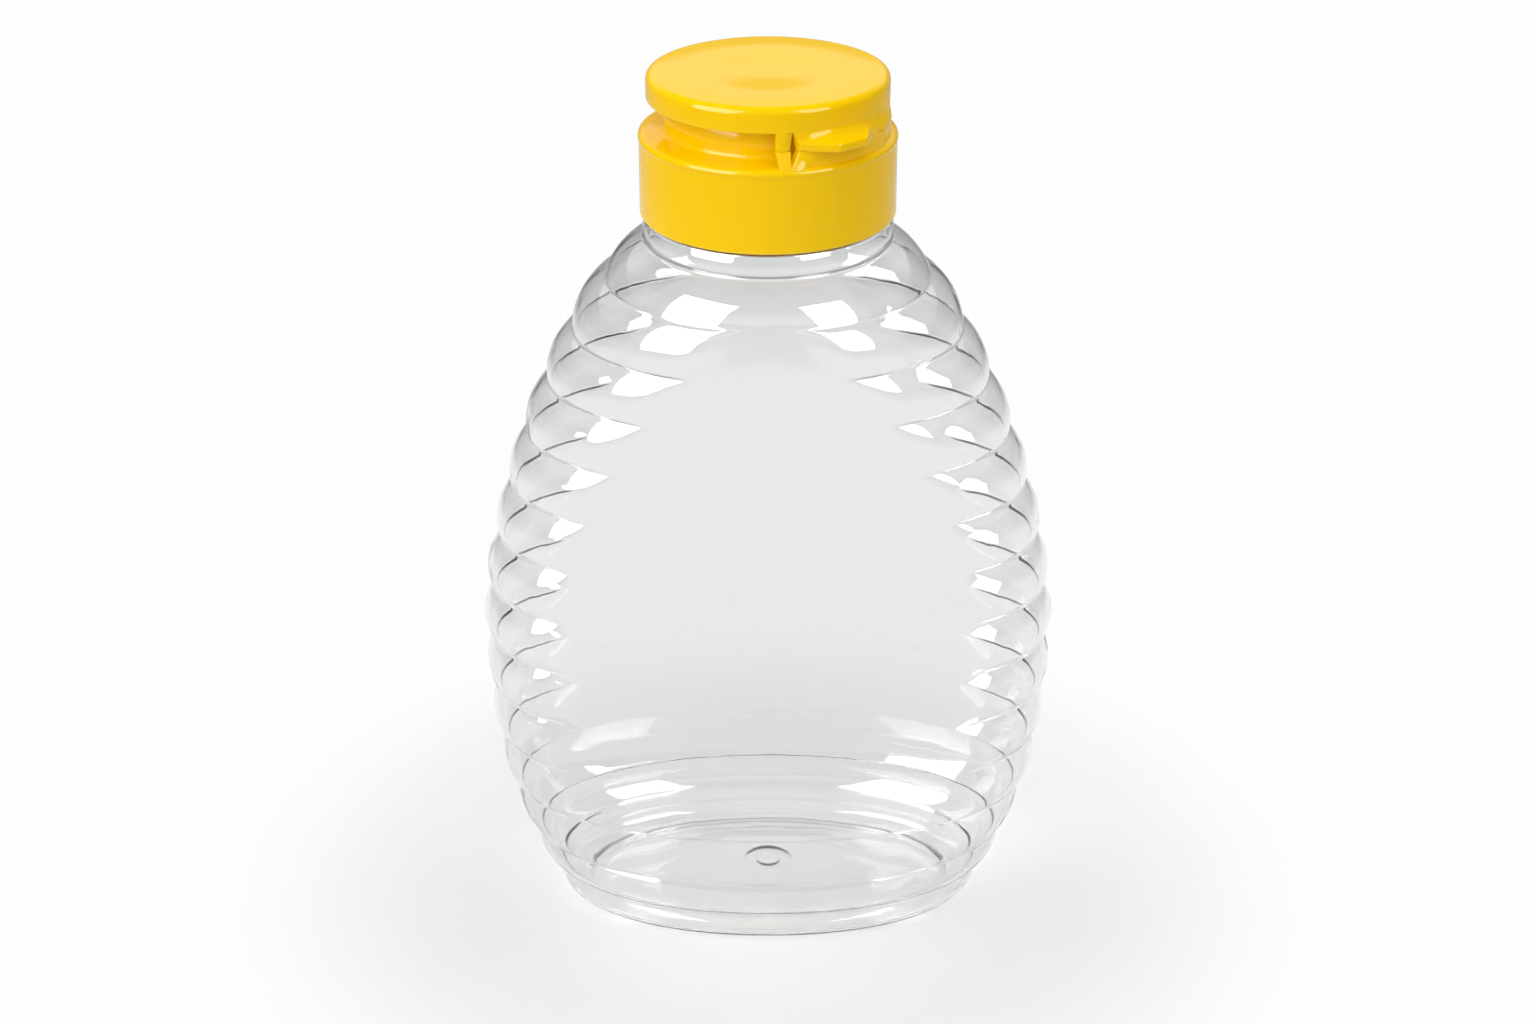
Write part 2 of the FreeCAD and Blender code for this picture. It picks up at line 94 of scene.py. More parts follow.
# ---- settings ---------------------------------------------------------------------------------
class BottleSettings(bpy.types.PropertyGroup):
    """Sizes of the blown bottle."""
    squareness: number("Squareness", "Exponent of every level section; 2 is an ellipse", 2.08)
    wall: length("Wall", "Thickness of the blown wall", 0.62)
    half_width: length("Half width", "Half the width at the waist's grooves", 47.95)
    waist: length("Waist", "Level of the widest section", 54.5)
    shoulder_half_width: length("Shoulder half width", "Half the width at the top groove", 27.0)
    heel_half_width: length("Heel half width", "Half the width at the heel groove", 37.5)
    half_depth: length("Half depth", "Half the depth at the label panels", 24.25)
    depth_level: length("Depth level", "Level above which the panels flare", 47.0)
    depth_flare: length("Flare", "How much deeper the bottle is under its shoulder", 2.3)
    shoulder_half_depth: length("Shoulder half depth", "Half the depth at the top groove", 25.8)
    heel_half_depth: length("Heel half depth", "Half the depth at the heel groove", 22.1)
    heel_groove: length("Heel groove", "Level of the lowest groove", 5.2)
    first_groove: length("First groove", "Level of the groove under the rings", 11.8)
    end_ring: length("End ring", "Height of the first ring and the last two", 9.2)
    ring: length("Ring", "Height of the rings between", 9.65)
    middle_rings: bpy.props.IntProperty(
        name="Middle rings", description="How many rings lie between the end rings", default=8)
    ring_bulge: length("Ring bulge", "How far a ring stands out of its grooves", 1.3)
    low_ring_share: number("Low ring share", "Share of the bulge that is left near the foot", 0.6)
    heel_bulge: length("Heel bulge", "How far the heel ring stands out", 1.05)
    shoulder_bulge: length("Shoulder bulge", "How far the shoulder ring stands out", 1.0)
    groove_round: length("Groove rounding", "Radius at the bottom of each groove", 0.22)
    panel_half_width: length("Panel half width", "Half the width of the smooth label panel", 34.0)
    panel_middle: length("Panel middle", "Level where the label panel is widest", 45.0)
    panel_over: length("Panel over shoulder", "How far over the top groove the panel would close", 2.4)
    panel_under: length("Panel under foot", "How far under the foot the panel would close", 7.0)
    ring_end: length("Ring end", "Width over which a ring fades into the panel", 6.0)
    panel_edge_share: number("Edge share", "Share of the bulge that the lowest ring keeps on the panel", 0.45)
    neck_radius: length("Neck radius", "Radius of the band under the cap", 20.4)
    shoulder_rise: length("Shoulder rise", "Height of the shoulder ring", 6.6)
    neck_band: length("Neck band", "Height of the band under the cap", 3.3)
    finish_radius: length("Finish radius", "Radius of the neck inside the cap", 18.3)
    finish_top: length("Finish top", "Level of the bottle's mouth", 140.6)


class CapSettings(bpy.types.PropertyGroup):
    """Sizes of the screw cap and its lid."""
    skirt_radius: length("Skirt radius", "Outer radius of the skirt", 21.0)
    skirt_wall: length("Skirt wall", "Thickness of the skirt", 2.0)
    rim_bead: length("Rim bead", "How far the bead at the skirt's top stands out", 0.12)
    rim_level: length("Rim", "Level of the skirt's flat rim", 141.6)
    rim_round: length("Rim rounding", "Radius of the rim's outer edge", 0.8)
    collar_radius: length("Collar radius", "Radius of the collar under the lid", 16.95)
    collar_bulge: length("Collar bulge", "How far the collar swells at half its height", 0.35)
    collar_top: length("Collar top", "Level of the deck round the spout", 148.025)
    spout_radius: length("Spout radius", "Outer radius of the spout", 4.6)
    orifice_radius: length("Orifice radius", "Radius of the spout's hole", 4.0)
    seal_level: length("Seal level", "Level of the seat on the bottle's mouth", 140.7)
    lid_radius: length("Lid radius", "Radius of the lid", 19.75)
    lid_bore: length("Lid bore", "Inner radius of the lid's wall", 17.65)
    lid_ceiling: length("Lid ceiling", "Level of the lid's underside", 149.4)
    lid_bottom: length("Lid bottom", "Level of the lid's lower edge", 147.0)
    lid_round: length("Lid rounding", "Radius of the lid's upper edge", 1.15)
    dish_radius: length("Dish radius", "Radius of the shallow dish in the lid's top", 12.5)
    dish_depth: length("Dish depth", "Depth of the dish at its middle", 0.25)


class HingeSettings(bpy.types.PropertyGroup):
    """Sizes of the moulded hinge."""
    strap_outer: length("Strap outer", "How far the straps reach to each side", 10.4)
    window_middle: length("Window middle", "How far to each side the slim windows lie", 7.95)
    window_half_width: length("Window half width", "Half the windows' width at the film line", 0.58)
    wall_radius: length("Wall radius", "Outer radius of the straps over the film line", 19.85)
    foot_radius: length(
        "Foot radius", "Outer radius of the low wall under the lip, clear of the open lid", 20.38)
    lip_half_width: length("Lip half width", "Half the width of the lip's front edge", 2.65)
    lip_reach: length("Lip reach", "How far the lip's edge lies from the cap's axis", 22.9)
    lip_thickness: length("Lip thickness", "Height of the lip's edge", 1.35)
    lip_slant: number("Lip slant", "How steeply the lip's flanks run back", 0.785)
    wing_end: length("Wing end", "How far to the side the wing ends", 14.4)


class FinishSettings(bpy.types.PropertyGroup):
    """Colours of the materials and the studio."""
    pet: colour("PET", "Tint of the clear bottle", "#F8F8F8")
    pet_depth: colour("PET depth", "Tint that builds up along the wall", "#E2E4E5")
    pet_shadow: colour("PET shadow", "How much lamp light the bottle's wall lets through", "#EAEAE9")
    yellow: colour("Yellow polypropylene", "Colour of the cap", "#FBCA00")
    paper: colour("Studio paper", "Colour of the floor", "#BCBCBB")


# ---- small tools --------------------------------------------------------------------------------
def linear(hex_value):
    """An sRGB hex value as a linear colour with alpha."""
    channels = [int(hex_value[i:i + 2], 16) / 255 for i in (1, 3, 5)]
    return [c / 12.92 if c <= 0.04045 else ((c + 0.055) / 1.055) ** 2.4 for c in channels] + [1.0]


def add_node(tree, kind, inputs=(), **settings):
    """Adds a node with its settings; inputs pairs each socket with a value or a socket to link."""
    node = tree.nodes.new(kind)
    for name, value in settings.items():
        setattr(node, name, value)
    for socket, value in inputs:
        if isinstance(value, bpy.types.NodeSocket):
            tree.links.new(value, node.inputs[socket])
        else:
            node.inputs[socket].default_value = value
    return node


def new_material(name):
    """The named material with its empty node tree, or with None where it has been made already."""
    material = bpy.data.materials.get(name)
    if material is None:
        material = bpy.data.materials.new(name)
        material.use_nodes = True
        material.node_tree.nodes.clear()
        return material, material.node_tree
    return material, None


def seen_directly(tree):
    """1 where a surface is seen by eye, in a mirror or through glass, 0 where it only lights others."""
    path = add_node(tree, "ShaderNodeLightPath")
    seen = add_node(tree, "ShaderNodeMath", [
        (0, path.outputs["Is Camera Ray"]), (1, path.outputs["Is Glossy Ray"])], operation="MAXIMUM")
    seen = add_node(tree, "ShaderNodeMath", [
        (0, seen.outputs[0]), (1, path.outputs["Is Transmission Ray"])], operation="MAXIMUM")
    lights = add_node(tree, "ShaderNodeMath", [
        (0, path.outputs["Diffuse Depth"]), (1, 0.5)], operation="LESS_THAN")
    return add_node(tree, "ShaderNodeMath", [
        (0, seen.outputs[0]), (1, lights.outputs[0])], operation="MULTIPLY").outputs[0]


def smooth(share):
    """A share held between 0 and 1, eased at both ends."""
    share = np.clip(share, 0.0, 1.0)
    return share * share * (3 - 2 * share)


def mesh_object(name, vertices, faces, material, sharp_degrees):
    """A smooth-shaded mesh object with edges kept sharp above the given angle."""
    mesh = bpy.data.meshes.new(name)
    mesh.from_pydata([tuple(v) for v in vertices], [], faces)
    mesh.validate()
    mesh.shade_smooth()
    mesh.set_sharp_from_angle(angle=math.radians(sharp_degrees))
    mesh.materials.append(material)
    piece = bpy.data.objects.new(name, mesh)
    bpy.context.scene.collection.objects.link(piece)
    return piece


def tube_faces(row_count, columns, first=0):
    """Quads between rows of points that each run once round."""
    faces = []
    for row in range(row_count - 1):
        low = first + row * columns
        for i in range(columns):
            j = (i + 1) % columns
            faces.append((low + i, low + j, low + columns + j, low + columns + i))
    return faces


def finished(piece, body, slot, *replaced):
    """Puts a piece on its body and hides the nodes that it stands for; its material slot is not used."""
    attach(piece, body)
    if replaced:
        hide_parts(*replaced)


# ---- materials ----------------------------------------------------------------------------------
def clear_pet():
    """Polyethylene terephthalate, stretch-blown: water-clear and glossy, with a faint waviness in
    the wall that makes reflections waver."""
    material, tree = new_material("blown_clear_pet")
    if tree is None:
        return material
    finish = bpy.context.scene.bottle_finish
    place = add_node(tree, "ShaderNodeTexCoord")
    waves = add_node(tree, "ShaderNodeTexNoise", [
        ("Vector", place.outputs["Object"]), ("Scale", 1 / (9 * MM)), ("Detail", 1.5)])
    bump = add_node(tree, "ShaderNodeBump", [
        ("Height", waves.outputs["Fac"]), ("Strength", 1.0), ("Distance", 0.1 * MM)])
    shader = add_node(tree, "ShaderNodeBsdfPrincipled", [
        ("Base Color", linear(finish.pet)), ("Roughness", 0.015), ("IOR", 1.575),
        ("Transmission Weight", 1.0), ("Normal", bump.outputs["Normal"])])
    # Lamps shine through the thin wall, so its shadow is only a faint grey.
    lets_through = add_node(tree, "ShaderNodeBsdfTransparent", [("Color", linear(finish.pet_shadow))])
    path = add_node(tree, "ShaderNodeLightPath")
    surface = add_node(tree, "ShaderNodeMixShader", [
        (0, path.outputs["Is Shadow Ray"]), (1, shader.outputs["BSDF"]), (2, lets_through.outputs["BSDF"])])
    # The edges look darker, because there the eye looks along the wall.
    grey = add_node(tree, "ShaderNodeVolumeAbsorption", [
        ("Color", linear(finish.pet_depth)), ("Density", 0.22 / MM)])
    add_node(tree, "ShaderNodeOutputMaterial", [
        ("Surface", surface.outputs["Shader"]), ("Volume", grey.outputs["Volume"])])
    return material


def yellow_polypropylene():
    """Polypropylene, injection moulded from a polished tool: an even, slightly waxy yellow with a
    glossy skin and a very faint ripple."""
    material, tree = new_material("moulded_yellow_polypropylene")
    if tree is None:
        return material
    finish = bpy.context.scene.bottle_finish
    place = add_node(tree, "ShaderNodeTexCoord")
    ripple = add_node(tree, "ShaderNodeTexNoise", [
        ("Vector", place.outputs["Object"]), ("Scale", 1 / (5 * MM)), ("Detail", 2.0)])
    bump = add_node(tree, "ShaderNodeBump", [
        ("Height", ripple.outputs["Fac"]), ("Strength", 1.0), ("Distance", 0.008 * MM)])
    shader = add_node(tree, "ShaderNodeBsdfPrincipled", [
        ("Base Color", linear(finish.yellow)), ("Roughness", 0.08), ("IOR", 1.49),
        ("Specular IOR Level", 0.17), ("Subsurface Weight", 0.1), ("Subsurface Radius", (1.0, 0.6, 0.1)),
        ("Subsurface Scale", 0.8 * MM), ("Normal", bump.outputs["Normal"])])
    add_node(tree, "ShaderNodeOutputMaterial", [("Surface", shader.outputs["BSDF"])])
    return material


def studio_paper():
    """Seamless background paper: matt and white, lifted to plain white where it is seen unshaded, with
    painted light under the bottle's base and painted shade where it is mirrored far off.
    """
    material, tree = new_material("seamless_studio_paper")
    if tree is None:
        return material
    finish = bpy.context.scene.bottle_finish
    place = add_node(tree, "ShaderNodeTexCoord")
    away = add_node(tree, "ShaderNodeVectorMath", [(0, place.outputs["Object"])], operation="LENGTH")
    fade = add_node(tree, "ShaderNodeMapRange", [
        ("Value", away.outputs["Value"]), ("From Min", 45 * MM), ("From Max", 100 * MM), ("To Min", 0.0),
        ("To Max", 1.0)], interpolation_type="SMOOTHSTEP")
    shown = add_node(tree, "ShaderNodeMath", [
        (0, seen_directly(tree)), (1, fade.outputs["Result"])], operation="MULTIPLY")
    colour_mix = add_node(tree, "ShaderNodeMix", [
        (0, shown.outputs[0]), (6, linear(finish.paper)), (7, (0.0, 0.0, 0.0, 1.0))], data_type="RGBA")
    lift = add_node(tree, "ShaderNodeMapRange", [
        ("Value", fade.outputs["Result"]), ("To Min", 0.2), ("To Max", 0.985)])
    # Painted light: the floor is lifted a little under the clear base, for the light the bottle gathers
    # there, most of it under both ends of the heel.
    stretched = add_node(tree, "ShaderNodeVectorMath", [
        (0, place.outputs["Object"]), (1, (1.0, 1.7, 1.0))], operation="MULTIPLY")
    inside = add_node(tree, "ShaderNodeVectorMath", [(0, stretched.outputs["Vector"])], operation="LENGTH")
    painted_base_light = add_node(tree, "ShaderNodeMapRange", [
        ("Value", inside.outputs["Value"]), ("From Min", 24 * MM), ("From Max", 38 * MM), ("To Min", 0.04),
        ("To Max", 0.0)], interpolation_type="SMOOTHSTEP")
    mirrored = add_node(tree, "ShaderNodeVectorMath", [(0, place.outputs["Object"])], operation="ABSOLUTE")
    beside = add_node(tree, "ShaderNodeVectorMath", [
        (0, mirrored.outputs["Vector"]), (1, (22 * MM, 14 * MM, 0.0))], operation="SUBTRACT")
    beside = add_node(tree, "ShaderNodeVectorMath", [
        (0, beside.outputs["Vector"]), (1, (1.0, 2.2, 1.0))], operation="MULTIPLY")
    beside = add_node(tree, "ShaderNodeVectorMath", [(0, beside.outputs["Vector"])], operation="LENGTH")
    painted_heel_light = add_node(tree, "ShaderNodeMapRange", [
        ("Value", beside.outputs["Value"]), ("From Min", 3 * MM), ("From Max", 8 * MM), ("To Min", 0.14),
        ("To Max", 0.0)], interpolation_type="SMOOTHSTEP")
    # Adds the painted light under the base to the floor's glow.
    lift = add_node(tree, "ShaderNodeMath", [
        (0, lift.outputs["Result"]), (1, painted_base_light.outputs["Result"])], operation="ADD")
    lift = add_node(tree, "ShaderNodeMath", [
        (0, lift.outputs[0]), (1, painted_heel_light.outputs["Result"])], operation="ADD")
    # Painted shade in reflections: mirrored at a glancing angle, the floor is painted darker from a fifth of
    # a metre out, as if the sheet ended about half a metre away and the dim room began.
    mirrored_far_shade = add_node(tree, "ShaderNodeMapRange", [
        ("Value", away.outputs["Value"]), ("From Min", 200 * MM), ("From Max", 600 * MM), ("To Min", 0.0),
        ("To Max", 0.65)], interpolation_type="SMOOTHSTEP")
    path = add_node(tree, "ShaderNodeLightPath")
    mirrored_far_shade = add_node(tree, "ShaderNodeMath", [
        (0, path.outputs["Is Glossy Ray"]), (1, mirrored_far_shade.outputs["Result"])], operation="MULTIPLY")
    bright = add_node(tree, "ShaderNodeMath", [(0, 1.0), (1, mirrored_far_shade.outputs[0])], operation="SUBTRACT")
    glow = add_node(tree, "ShaderNodeMath", [
        (0, seen_directly(tree)), (1, lift.outputs[0])], operation="MULTIPLY")
    glow = add_node(tree, "ShaderNodeMath", [
        (0, glow.outputs[0]), (1, bright.outputs[0])], operation="MULTIPLY")
    shader = add_node(tree, "ShaderNodeBsdfPrincipled", [
        ("Base Color", colour_mix.outputs[2]), ("Roughness", 0.9), ("Specular IOR Level", 0.0),
        ("Emission Color", (1.0, 1.0, 1.0, 1.0)), ("Emission Strength", glow.outputs[0])])
    add_node(tree, "ShaderNodeOutputMaterial", [("Surface", shader.outputs["BSDF"])])
    return material


# ---- bottle -------------------------------------------------------------------------------------
COLUMNS = 320  # points round each level section
# Where along its height a ring has a row of points, closest together beside its grooves.
RING_STEPS = (0.0, 0.02, 0.055, 0.12, 0.22, 0.35, 0.5, 0.65, 0.78, 0.88, 0.945, 0.98)


def curled(full, end, share, power):
    """Half a size that curls in from full, at share 0, to end, at share 1."""
    return full * math.sqrt(1 - (1 - (end / full) ** 2) * share ** power)


def groove_levels(s):
    """Levels of the grooves, from the one under the rings to the one at the shoulder."""
    levels = [s.first_groove]
    for height in [s.end_ring] + [s.ring] * s.middle_rings + [s.end_ring] * 2:
        levels.append(levels[-1] + height)
    return levels


def half_sizes(s, z, shoulder):
    """Half the width and half the depth of the wall, without its rings, at level z."""
    if z > s.waist:
        half_x = curled(s.half_width, s.shoulder_half_width, (z - s.waist) / (shoulder - s.waist), 1.5)
    else:
        half_x = curled(s.half_width, s.heel_half_width, (s.waist - z) / (s.waist - s.heel_groove), 2.6)
    flare_top = shoulder - s.end_ring
    if z > flare_top:
        slope = 2 * s.depth_flare / (flare_top - s.depth_level)
        over = z - flare_top
        fall = s.half_depth + s.depth_flare + slope * s.end_ring - s.shoulder_half_depth
        half_y = s.half_depth + s.depth_flare + slope * over - fall * (over / s.end_ring) ** 2
    elif z > s.depth_level:
        half_y = s.half_depth + s.depth_flare * ((z - s.depth_level) / (flare_top - s.depth_level)) ** 2
    else:
        share = (s.depth_level - z) / (s.depth_level - s.heel_groove)
        half_y = curled(s.half_depth, s.heel_half_depth, share, 3.5)
    return half_x, half_y


def oval(half_x, half_y, z, squareness):
    """One level section as a row of points, counter-clockwise from +X."""
    turn = np.arange(COLUMNS) * (2 * math.pi / COLUMNS)
    power = 2 / squareness
    x = half_x * np.sign(np.cos(turn)) * np.abs(np.cos(turn)) ** power
    y = half_y * np.sign(np.sin(turn)) * np.abs(np.sin(turn)) ** power
    return np.stack([x, y, np.full(COLUMNS, z)], axis=1)


def outward(rows):
    """Unit normals of a sheet of rows, pointing away from its hollow."""
    rows = np.asarray(rows)
    along = np.roll(rows, -1, axis=1) - np.roll(rows, 1, axis=1)
    up = np.empty_like(rows)
    up[1:-1] = rows[2:] - rows[:-2]
    up[0] = rows[1] - rows[0]
    up[-1] = rows[-1] - rows[-2]
    normals = np.cross(along, up)
    return normals / np.maximum(np.linalg.norm(normals, axis=2, keepdims=True), 1e-12)


def panel_edge(s, z, shoulder):
    """How far to each side the smooth label panel reaches at level z."""
    if z > s.panel_middle:
        share, power = (z - s.panel_middle) / (shoulder + s.panel_over - s.panel_middle), 2.4
    else:
        share, power = (s.panel_middle - z) / (s.panel_middle + s.panel_under), 4
    return s.panel_half_width * (1 - share ** power)


def ring_height(s, share, height, bulge):
    """How far a ring stands out at a share of its height, its grooves slightly rounded."""
    reach = min(share, 1 - share) * height
    eased = math.sqrt(reach ** 2 + s.groove_round ** 2) - s.groove_round * math.exp(-reach / s.groove_round)
    eased = min(eased / height, 0.5)
    return 4 * bulge * eased * (1 - eased)


def wall_rows(s):
    """The ringed wall from the heel groove to the neck groove."""
    levels = [s.heel_groove] + groove_levels(s)
    shoulder = levels[-1]
    plain, height_rows = [], []
    for i in range(len(levels) - 1):
        low, tall = levels[i], levels[i + 1] - levels[i]
        for share in RING_STEPS:
            z = low + share * tall
            row = oval(*half_sizes(s, z, shoulder), z, s.squareness)
            if i == 0:
                heights = np.full(COLUMNS, ring_height(s, share, tall, s.heel_bulge))
            else:
                kept = s.panel_edge_share if i == 1 else 0.0
                fade = smooth((np.abs(row[:, 0]) - panel_edge(s, z, shoulder)) / s.ring_end) ** 0.75
                grown = float(smooth(low / s.waist))
                bulge = s.ring_bulge * (s.low_ring_share + (1 - s.low_ring_share) * grown)
                heights = ring_height(s, share, tall, bulge) * (kept + (1 - kept) * fade)
            plain.append(row)
            height_rows.append(heights)
    for share in RING_STEPS:
        half_x = s.shoulder_half_width + (s.neck_radius - s.shoulder_half_width) * share
        half_y = s.shoulder_half_depth + (s.neck_radius - s.shoulder_half_depth) * share
        squareness = s.squareness + (2 - s.squareness) * share
        plain.append(oval(half_x, half_y, shoulder + share * s.shoulder_rise, squareness))
        height_rows.append(np.full(COLUMNS, ring_height(s, share, s.shoulder_rise, s.shoulder_bulge)))
    plain = np.array(plain)
    return list(plain + outward(plain) * np.array(height_rows)[:, :, None])


def neck_rows(s):
    """The band under the cap, its rounded top and the finish inside the cap."""
    foot = groove_levels(s)[-1] + s.shoulder_rise
    top = foot + s.neck_band
    corner, swell, corner_steps = 0.8 * MM, 0.25 * MM, 5
    outline = [(s.neck_radius + 4 * swell * t * (1 - t), foot + s.neck_band * t)
               for t in (0.0, 0.06, 0.2, 0.4, 0.6, 0.8, 0.94)]
    for step in range(corner_steps + 1):
        turn = math.pi / 2 * step / corner_steps
        outline.append((s.neck_radius - corner * (1 - math.cos(turn)), top + corner * math.sin(turn)))
    shoulder = top + corner
    outline += [(s.finish_radius + 0.1 * MM, shoulder), (s.finish_radius, shoulder + 0.1 * MM)]
    outline += [(s.finish_radius, shoulder + (s.finish_top - shoulder) * t) for t in (0.3, 0.6, 0.98, 1.0)]
    return [oval(radius, radius, z, 2) for radius, z in outline]


def base_rows(s):
    """The pushed-up base from its middle out to the flat land, and the rounded foot."""
    lean, foot_round, land_width, swell = 0.5 * MM, 2.6 * MM, 1.3 * MM, 0.2 * MM
    foot_steps, heel_steps = 10, 5
    heel = (s.heel_half_width - lean, s.heel_half_depth, 2.2 * MM)
    corner = (heel[0] - lean, heel[1])
    land = (corner[0] - foot_round, corner[1] - foot_round)
    inner = (land[0] - land_width, land[1] - land_width)
    # Each station is half a width, half a depth, a level and the steps to the next station: first the
    # round gate mark and the dome about it, then the slope that follows the land inwards.
    stations = [(radius * MM, radius * MM, z * MM, steps) for radius, z, steps in [
        (0.05, 2.3, 1), (0.8, 2.28, 2), (1.7, 2.4, 3), (2.4, 2.7, 2), (3.5, 2.72, 4),
        (4.6, 2.4, 2), (6.2, 2.35, 8)]]
    stations += [(inner[0] - in_x * MM, inner[1] - in_y * MM, z * MM, steps) for in_x, in_y, z, steps in [
        (14.6, 9.6, 2.15, 5), (10.4, 6.9, 1.8, 6), (4.2, 3.6, 1.45, 4), (1.6, 1.4, 1.0, 4)]]
    stations += [(inner[0], inner[1], 0.0, 2), (land[0], land[1], 0.0, 1)]
    rows = []
    for (x0, y0, z0, steps), (x1, y1, z1, _) in zip(stations[:-1], stations[1:]):
        for step in range(steps):
            t = step / steps
            half_x, half_y = x0 + (x1 - x0) * t, y0 + (y1 - y0) * t
            squareness = 2 if half_x - half_y < 1 * MM else s.squareness
            rows.append(oval(half_x, half_y, z0 + (z1 - z0) * t, squareness))
    foot = []
    for step in range(foot_steps):
        t = step / foot_steps
        a, b, c = (1 - t) ** 2, 2 * t * (1 - t), t * t
        foot.append(oval(a * land[0] + b * corner[0] + c * heel[0], a * land[1] + b * corner[1] + c * heel[1],
                         c * heel[2], s.squareness))
    for step in range(heel_steps):
        t = step / heel_steps
        half_x = heel[0] + (s.heel_half_width - heel[0]) * t + 4 * swell * t * (1 - t)
        half_y = heel[1] + (s.heel_half_depth - heel[1]) * t + 4 * swell * t * (1 - t)
        foot.append(oval(half_x, half_y, heel[2] + (s.heel_groove - heel[2]) * t, s.squareness))
    return rows, foot


class BOTTLE_OT_body(bpy.types.Operator):
    """Builds the blown bottle: a ringed oval shell with smooth label panels and a pushed-up base"""
    bl_idname = "squeeze_bottle.body"
    bl_label = "Bottle"

    def execute(self, context):
        s = context.scene.bottle_body
        base, foot = base_rows(s)
        upper = foot + wall_rows(s) + neck_rows(s)
        outer = np.array(base + upper)
        inner = outer - outward(outer) * s.wall
        # Inside, the base is smoother than outside, as blown plastic is.
        count = len(base)
        softened = outer[:count].copy()
        for _ in range(6):
            softened[1:-1] = (softened[:-2] + 2 * softened[1:-1] + softened[2:]) / 4
        inner[:count] = softened + np.array([0, 0, s.wall])
        rows = np.concatenate([outer, inner[::-1]])
        vertices = rows.reshape(-1, 3)
        faces = tube_faces(len(rows), COLUMNS)
        faces.append(tuple(range(COLUMNS))[::-1])
        faces.append(tuple(range(len(vertices) - COLUMNS, len(vertices))))
        piece = mesh_object("blown_bottle", vertices, faces, clear_pet(), 60)
        finished(piece, "base", "clear_pet", "bottle")
        return {"FINISHED"}


# ---- cap ----------------------------------------------------------------------------------------
SPINS = 384  # points round each turned piece
ARC_STEPS = 7  # steps round each rounded corner
SHARP_DEGREES = 35  # a steeper edge than this is kept sharp and bevelled
LINE_PLACES = (-50.0, -0.5, 20.0, 30.5, 118.0, 201.0)  # the skirt's mould lines, degrees from the front
LINE_HEIGHT, LINE_HALF_WIDTH = 0.035 * MM, 0.3 * MM
LINE_RADIUS, LINE_TOP = 20.9 * MM, 140 * MM  # the lines lie outside this radius and below this level
FILM_GAP = 0.02 * MM  # the straps end this far from the film line


def rounded(points):
    """An outline with its corners rounded. Each point is (radius, z) or (radius, z, rounding)."""
    result = []
    count = len(points)
    for i, point in enumerate(points):
        here = Vector(point[:2])
        if len(point) < 3:
            result.append(here)
            continue
        back = (Vector(points[i - 1][:2]) - here).normalized()
        on = (Vector(points[(i + 1) % count][:2]) - here).normalized()
        half = back.angle(on) / 2
        centre = here + (back + on).normalized() * (point[2] / math.sin(half))
        start = here + back * (point[2] / math.tan(half)) - centre
        sweep = math.pi - 2 * half
        if start.x * on.y - start.y * on.x < 0:
            sweep = -sweep
        for step in range(ARC_STEPS + 1):
            turn = sweep * step / ARC_STEPS
            c, d = math.cos(turn), math.sin(turn)
            result.append(centre + Vector((start.x * c - start.y * d, start.x * d + start.y * c)))
    return result


def revolved(name, outline, closed, ripple=None):
    """Turns an outline round the axis. An outline that isn't closed starts and ends on the axis."""
    turn = np.arange(SPINS) * (2 * math.pi / SPINS)
    rows = []
    for radius, z in outline:
        radii = np.full(SPINS, radius) + (ripple(turn, radius, z) if ripple else 0.0)
        rows.append(np.stack([radii * np.cos(turn), radii * np.sin(turn), np.full(SPINS, z)], axis=1))
    vertices = np.concatenate(rows)
    total = len(vertices)
    if closed:
        faces = [tuple(i % total for i in face) for face in tube_faces(len(rows) + 1, SPINS)]
    else:
        faces = tube_faces(len(rows), SPINS)
        faces += [tuple(range(SPINS))[::-1], tuple(range(total - SPINS, total))]
    return mesh_object(name, vertices, [f[::-1] for f in faces], yellow_polypropylene(), 40)


def mould_lines(turn, radius, z):
    """Faint upright lines that the mould's inserts leave on the skirt."""
    ridge = 0.0
    if radius > LINE_RADIUS and z < LINE_TOP:
        for degrees in LINE_PLACES:
            away = np.angle(np.exp(1j * (turn - math.radians(degrees - 90)))) * radius
            ridge = ridge + LINE_HEIGHT * np.exp(-(away / LINE_HALF_WIDTH) ** 2)
    return ridge


def from_hinge(points):
    """Turns the hinge's points, as (across, out, z), into the object's own x, y and z."""
    points = np.asarray(points)
    across, out, z = points[..., 0], points[..., 1], points[..., 2]
    c, d = math.cos(HINGE_TURN), math.sin(HINGE_TURN)
    return np.stack([across * c + out * d, across * d - out * c, z], axis=-1)


def block(name, outer, inner, sharp_degrees=SHARP_DEGREES):
    """A closed piece between an outer and an inner sheet of points, both (levels, across, 3)."""
    outer, inner = from_hinge(outer), from_hinge(inner)
    levels, across = outer.shape[:2]
    vertices = np.concatenate([outer.reshape(-1, 3), inner.reshape(-1, 3)])
    shift = levels * across

    def at(level, i, side):
        return side * shift + level * across + i

    faces = []
    for level in range(levels - 1):
        for i in range(across - 1):
            faces.append((at(level, i, 0), at(level, i + 1, 0), at(level + 1, i + 1, 0), at(level + 1, i, 0)))
            faces.append((at(level, i, 1), at(level + 1, i, 1), at(level + 1, i + 1, 1), at(level, i + 1, 1)))
        faces.append((at(level, 0, 0), at(level + 1, 0, 0), at(level + 1, 0, 1), at(level, 0, 1)))
        end = across - 1
        faces.append((at(level, end, 0), at(level, end, 1), at(level + 1, end, 1), at(level + 1, end, 0)))
    top = levels - 1
    for i in range(across - 1):
        faces.append((at(0, i, 0), at(0, i, 1), at(0, i + 1, 1), at(0, i + 1, 0)))
        faces.append((at(top, i, 0), at(top, i + 1, 0), at(top, i + 1, 1), at(top, i, 1)))
    return mesh_object(name, vertices, faces, yellow_polypropylene(), sharp_degrees)


